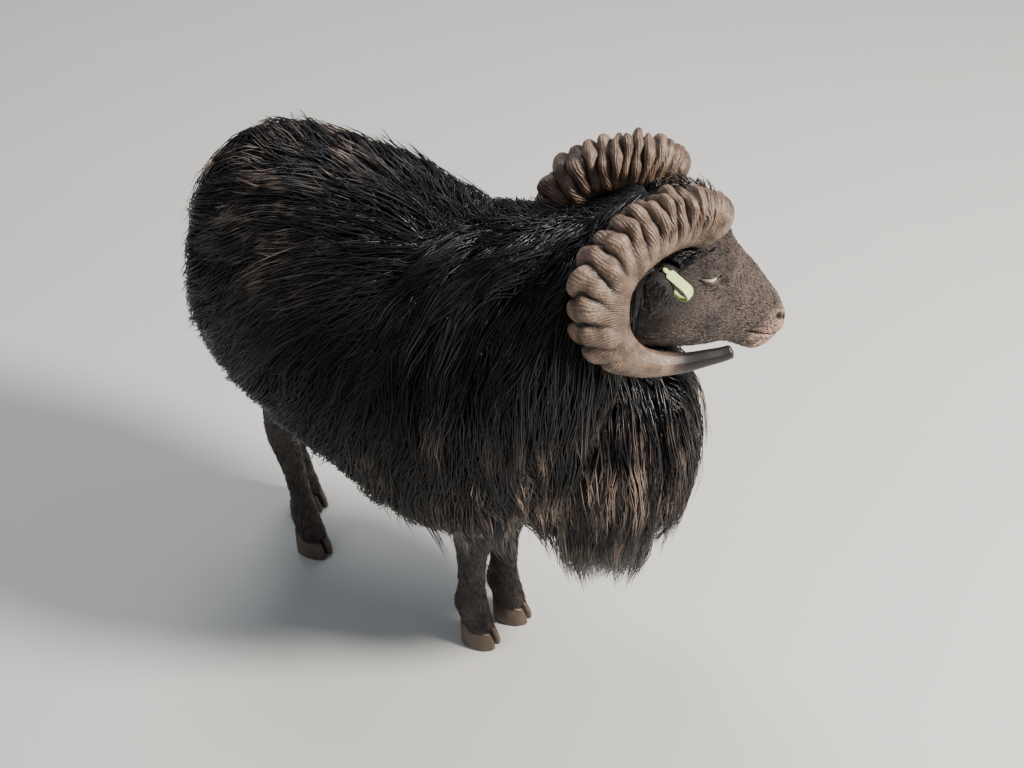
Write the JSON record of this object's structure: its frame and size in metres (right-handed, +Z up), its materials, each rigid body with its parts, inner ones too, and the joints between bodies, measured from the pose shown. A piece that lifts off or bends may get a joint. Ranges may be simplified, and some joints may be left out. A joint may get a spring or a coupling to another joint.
{
  "type": "ouessant ram",
  "caption": "Life-size standing miniature sheep ram with a long black fleece, curled ridged horns, its head turned to the left, and an ear tag.",
  "frame": {"origin": "on the ground, under the middle of the bounding box", "axes": "+Z up, +X the way the trunk faces, +Y the animal's left"},
  "size_m": [0.6044, 0.353, 0.5922],
  "materials": {
    "wool": "long wool in locks",
    "short_coat": "short dense hair over skin",
    "horn": "ridged keratin, satin",
    "hoof": "keratin, matte",
    "eye": "wet",
    "tag_plastic": "soft moulded plastic"
  },
  "bodies": {
    "root": {"ear_left": "short_coat", "ear_right": "short_coat", "ear_tag": "tag_plastic", "eye_left": "eye", "eye_right": "eye", "head": "short_coat", "hoof_front_left_inner": "hoof", "hoof_front_left_outer": "hoof", "hoof_front_right_inner": "hoof", "hoof_front_right_outer": "hoof", "hoof_hind_left_inner": "hoof", "hoof_hind_left_outer": "hoof", "hoof_hind_right_inner": "hoof", "hoof_hind_right_outer": "hoof", "horn_left_base": "horn", "horn_left_middle": "horn", "horn_left_tip": "horn", "horn_right_base": "horn", "horn_right_middle": "horn", "horn_right_tip": "horn", "leg_front_left": "short_coat", "leg_front_right": "short_coat", "leg_hind_left": "short_coat", "leg_hind_right": "short_coat", "neck": "wool", "tail": "wool", "torso": "wool"}
  },
  "joints": []
}
